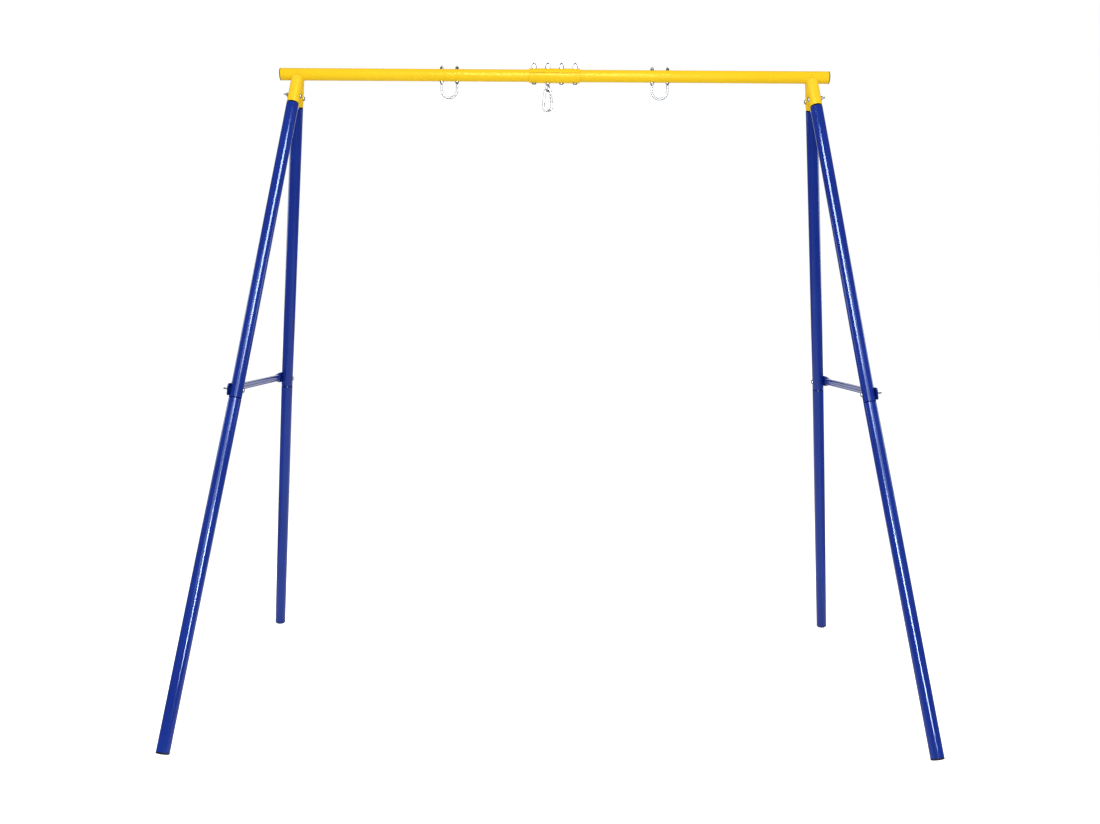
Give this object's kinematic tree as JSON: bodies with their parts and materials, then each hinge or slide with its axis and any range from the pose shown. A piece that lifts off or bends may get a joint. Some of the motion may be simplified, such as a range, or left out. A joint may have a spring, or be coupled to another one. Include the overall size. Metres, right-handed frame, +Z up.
{
  "type": "swing stand",
  "caption": "A-frame swing stand: sleeved top beam on splayed, braced tube legs, with U-bolt hangers and an eye bolt carrying a spring snap hook.",
  "frame": {"origin": "on the floor, under the middle of the beam", "axes": "+X along the beam towards the viewer's right, +Z up, front at -Y"},
  "size_m": [2.1334, 1.4444, 1.9879],
  "materials": {
    "blue_paint": "gloss powder coat",
    "yellow_paint": "gloss powder coat",
    "black_plastic": "moulded, satin",
    "zinc_steel": "bright zinc plate",
    "polished_steel": "polished plate"
  },
  "bodies": {
    "frame": {"beam_cap_left": "black_plastic", "beam_cap_right": "black_plastic", "beam_left": "yellow_paint", "beam_right": "yellow_paint", "brace_bolt_front_left": "zinc_steel", "brace_bolt_front_right": "zinc_steel", "brace_bolt_rear_left": "zinc_steel", "brace_bolt_rear_right": "zinc_steel", "brace_left": "blue_paint", "brace_nut_front_left": "zinc_steel", "brace_nut_front_right": "zinc_steel", "brace_nut_rear_left": "zinc_steel", "brace_nut_rear_right": "zinc_steel", "brace_right": "blue_paint", "eye_bolt": "zinc_steel", "eye_bolt_nut": "polished_steel", "foot_plug_front_left": "black_plastic", "foot_plug_front_right": "black_plastic", "foot_plug_rear_left": "black_plastic", "foot_plug_rear_right": "black_plastic", "lower_leg_front_left": "blue_paint", "lower_leg_front_right": "blue_paint", "lower_leg_rear_left": "blue_paint", "lower_leg_rear_right": "blue_paint", "sleeve_bolt_1": "zinc_steel", "sleeve_bolt_2": "zinc_steel", "sleeve_bolt_3": "zinc_steel", "sleeve_lower": "yellow_paint", "sleeve_nut_1": "polished_steel", "sleeve_nut_2": "polished_steel", "sleeve_nut_3": "polished_steel", "sleeve_upper": "yellow_paint", "socket_bolt_front_left": "zinc_steel", "socket_bolt_front_right": "zinc_steel", "socket_bolt_rear_left": "zinc_steel", "socket_bolt_rear_right": "zinc_steel", "socket_nut_front_left": "zinc_steel", "socket_nut_front_right": "zinc_steel", "socket_nut_rear_left": "zinc_steel", "socket_nut_rear_right": "zinc_steel", "u_bolt_left": "zinc_steel", "u_bolt_lower_nut_left_1": "zinc_steel", "u_bolt_lower_nut_left_2": "zinc_steel", "u_bolt_lower_nut_right_1": "zinc_steel", "u_bolt_lower_nut_right_2": "zinc_steel", "u_bolt_right": "zinc_steel", "u_bolt_top_nut_left_1": "zinc_steel", "u_bolt_top_nut_left_2": "zinc_steel", "u_bolt_top_nut_right_1": "zinc_steel", "u_bolt_top_nut_right_2": "zinc_steel", "upper_leg_front_left": "blue_paint", "upper_leg_front_right": "blue_paint", "upper_leg_rear_left": "blue_paint", "upper_leg_rear_right": "blue_paint"},
    "snap_hook": {"carabiner_body": "polished_steel", "carabiner_gate_pin": "zinc_steel"},
    "hook_gate": {"carabiner_gate": "polished_steel"}
  },
  "joints": [
    {"name": "snap_hook_swing", "type": "hinge", "parent": "frame", "child": "snap_hook", "pos_m": [-0.0216, 0, 1.9066], "axis": [0.9848, -0.1736, 0], "range_deg": [-75, 75]},
    {"name": "hook_gate_hinge", "type": "hinge", "parent": "snap_hook", "child": "hook_gate", "pos_m": [-0.01215, -0.00167, 1.8926], "axis": [0.1736, 0.9848, 0], "range_deg": [0, 28], "stiffness_Nm_per_rad": 0.06, "springref_deg": -20.05}
  ]
}
